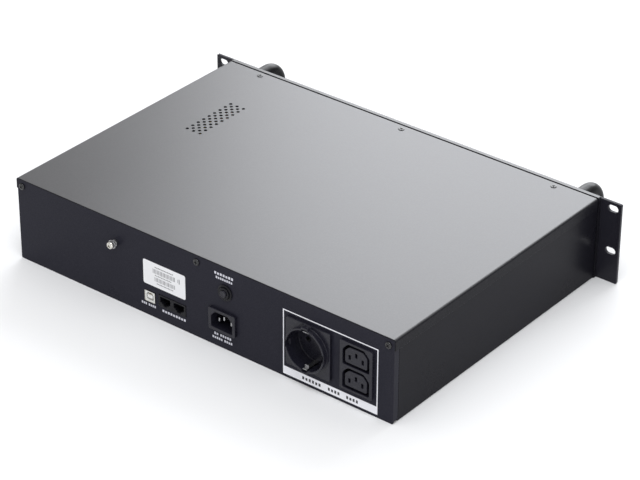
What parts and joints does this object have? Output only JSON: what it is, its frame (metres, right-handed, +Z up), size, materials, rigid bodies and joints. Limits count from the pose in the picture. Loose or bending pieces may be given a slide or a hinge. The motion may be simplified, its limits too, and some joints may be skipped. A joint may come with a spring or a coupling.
{
  "type": "rack-mount uninterruptible power supply",
  "caption": "Rack-mount uninterruptible power supply: front plate with slotted ears, bar handles, a display and vents; rear panel with mains inlet, outlets, ports and a resettable breaker.",
  "frame": {"origin": "centre of the chassis's bottom face, midway between the back of the rack ears and the face of the rear panel", "axes": "+X along the width towards the right as seen from the front, +Y towards the rear panel, +Z up; the front plate faces -Y"},
  "size_m": [0.4826, 0.3625, 0.0863],
  "materials": {
    "case_paint": "satin black powder coat",
    "front_paint": "satin black powder coat",
    "handle_paint": "satin black powder coat",
    "black_screw": "black oxide",
    "zinc_steel": "zinc plated",
    "socket_plastic": "fine matt black",
    "breaker_plastic": "satin black",
    "nickel": "nickel plated",
    "contact_brass": "bright",
    "port_white": "smooth white",
    "label_paper": "smooth white label",
    "white_ink": "flat white screen print",
    "window_glass": "dark tinted clear plastic",
    "lcd_panel": "grey green display",
    "board_green": "green solder mask",
    "button_plastic": "light grey",
    "inner_plastic": "matt black",
    "light_pipe": "clear, slightly green",
    "led_white": "white",
    "battery_plastic": "dark grey",
    "lead_plates": "dull lead grey",
    "core_steel": "varnished plates",
    "coil_copper": "varnished copper",
    "sink_aluminium": "extruded",
    "cap_sleeve": "dark blue sleeve",
    "cable_red": "red insulation",
    "cable_brown": "brown insulation",
    "cable_grey": "grey insulation",
    "cable_yellow": "yellow insulation"
  },
  "bodies": {
    "chassis": {"chassis_base": "case_paint", "rear_panel": "case_paint", "front_frame": "case_paint", "top_cover": "case_paint", "front_plate": "front_paint", "handle_left": "handle_paint", "handle_right": "handle_paint", "handle_screws": "zinc_steel", "cover_screws_top": "black_screw", "cover_screws_rear": "black_screw", "inlet_body": "socket_plastic", "inlet_pins": "nickel", "breaker_body": "breaker_plastic", "breaker_nut": "breaker_plastic", "round_outlet_body": "socket_plastic", "outlet_earth_clips": "nickel", "outlet_contacts": "contact_brass", "iec_outlet_body": "socket_plastic", "iec_contacts": "contact_brass", "usb_shell": "nickel", "usb_insert": "port_white", "phone_jacks": "socket_plastic", "jack_contacts": "contact_brass", "ground_screw": "nickel", "ground_hardware": "nickel", "rear_label": "label_paper", "output_marking": "white_ink", "display_window": "window_glass", "lcd_module": "lcd_panel", "display_board": "board_green", "display_standoffs": "zinc_steel", "button_guide": "inner_plastic", "front_switches": "inner_plastic", "status_lenses": "light_pipe", "status_leds": "led_white", "battery_front": "battery_plastic", "battery_rear": "battery_plastic", "battery_plates": "lead_plates", "battery_terminals": "nickel", "battery_straps": "zinc_steel", "base_screws": "zinc_steel", "transformer_core": "core_steel", "transformer_coil": "coil_copper", "transformer_frame": "zinc_steel", "transformer_bolts": "zinc_steel", "transformer_leads": "cable_yellow", "main_board": "board_green", "board_standoffs": "zinc_steel", "board_screws": "zinc_steel", "heatsinks": "sink_aluminium", "transistors": "inner_plastic", "capacitors": "cap_sleeve", "relays": "inner_plastic", "comms_board": "board_green", "battery_leads": "cable_red", "mains_wiring": "cable_brown", "display_lead": "cable_grey"},
    "power_button": {"power_button": "button_plastic"},
    "select_button": {"select_button": "button_plastic"},
    "breaker_button": {"breaker_button": "breaker_plastic"}
  },
  "joints": [
    {"name": "power_press", "type": "slide", "parent": "chassis", "child": "power_button", "axis": [0, 1, 0], "range_m": [0, 0.0015], "stiffness_N_per_m": 400, "springref_m": -0.001},
    {"name": "select_press", "type": "slide", "parent": "chassis", "child": "select_button", "axis": [0, 1, 0], "range_m": [0, 0.0015], "stiffness_N_per_m": 400, "springref_m": -0.001},
    {"name": "breaker_trip", "type": "slide", "parent": "chassis", "child": "breaker_button", "axis": [0, 1, 0], "range_m": [0, 0.004]}
  ]
}
